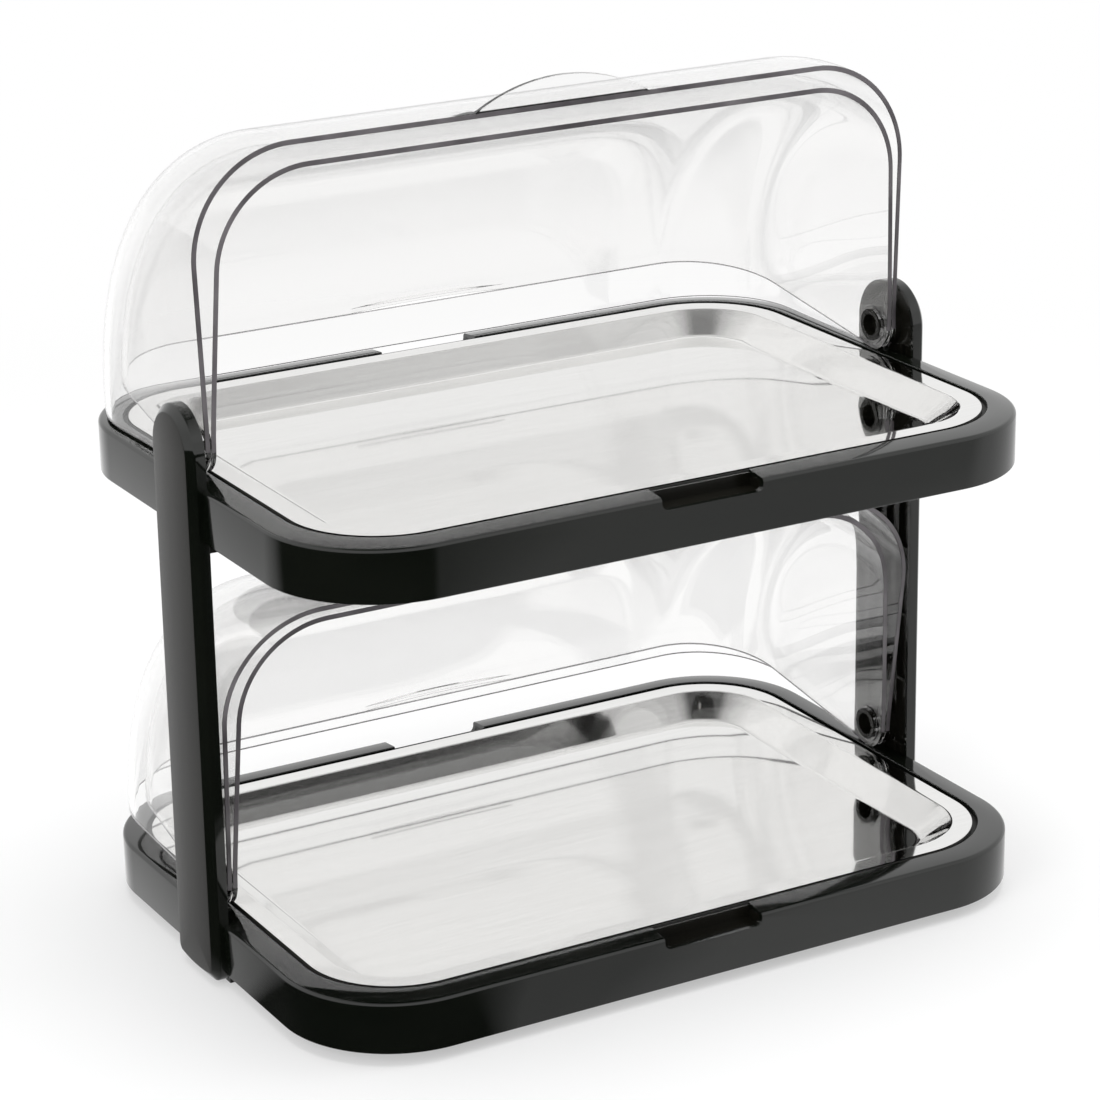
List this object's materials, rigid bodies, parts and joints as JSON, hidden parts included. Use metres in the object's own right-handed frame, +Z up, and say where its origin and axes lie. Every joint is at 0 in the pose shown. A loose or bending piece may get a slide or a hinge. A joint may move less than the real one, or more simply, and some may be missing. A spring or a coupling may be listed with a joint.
{
  "type": "roll-top display case",
  "caption": "Tiered countertop display case with clear roll-top lids over steel trays on cool packs, carried by black side posts.",
  "frame": {"origin": "centre of the footprint at the height of the feet's soles", "axes": "+X along the length, to the right seen from the serving side; -Y towards the serving side; +Z up"},
  "size_m": [0.4546, 0.32, 0.4633],
  "materials": {
    "black_gloss": "gloss",
    "black_satin": "satin",
    "tray_steel": "polished",
    "clear_plastic": "clear polished",
    "pack_plastic": "satin",
    "screw_steel": "zinc plated",
    "rubber": "matt"
  },
  "bodies": {
    "stand": {"lower_frame": "black_gloss", "lower_base_plate": "black_satin", "lower_tray": "tray_steel", "lower_left_cool_pack": "pack_plastic", "lower_right_cool_pack": "pack_plastic", "lower_left_hinge_pin": "black_satin", "lower_right_hinge_pin": "black_satin", "lower_base_screws": "screw_steel", "upper_frame": "black_gloss", "upper_base_plate": "black_satin", "upper_tray": "tray_steel", "upper_left_cool_pack": "pack_plastic", "upper_right_cool_pack": "pack_plastic", "upper_left_hinge_pin": "black_satin", "upper_right_hinge_pin": "black_satin", "upper_base_screws": "screw_steel", "left_post_cover": "black_gloss", "left_post_core": "black_satin", "right_post_cover": "black_gloss", "right_post_core": "black_satin", "shelf_screws": "screw_steel", "cover_screws": "screw_steel", "pin_screws": "screw_steel", "front_left_foot": "rubber", "rear_left_foot": "rubber", "front_right_foot": "rubber", "rear_right_foot": "rubber"},
    "lower_front_lid": {"lower_front_lid": "clear_plastic"},
    "lower_rear_lid": {"lower_rear_lid": "clear_plastic"},
    "upper_front_lid": {"upper_front_lid": "clear_plastic"},
    "upper_rear_lid": {"upper_rear_lid": "clear_plastic"}
  },
  "joints": [
    {"name": "lower_front_lid_hinge", "type": "hinge", "parent": "stand", "child": "lower_front_lid", "pos_m": [0, 0, 0.0514], "axis": [1, 0, 0], "range_deg": [-5.8, 84.2]},
    {"name": "lower_rear_lid_hinge", "type": "hinge", "parent": "stand", "child": "lower_rear_lid", "pos_m": [0, 0, 0.0514], "axis": [1, 0, 0], "range_deg": [-10.3, 86.3]},
    {"name": "upper_front_lid_hinge", "type": "hinge", "parent": "stand", "child": "upper_front_lid", "pos_m": [0, 0, 0.2934], "axis": [1, 0, 0], "range_deg": [0, 90]},
    {"name": "upper_rear_lid_hinge", "type": "hinge", "parent": "stand", "child": "upper_rear_lid", "pos_m": [0, 0, 0.2934], "axis": [1, 0, 0], "range_deg": [-9.8, 86.8]}
  ]
}
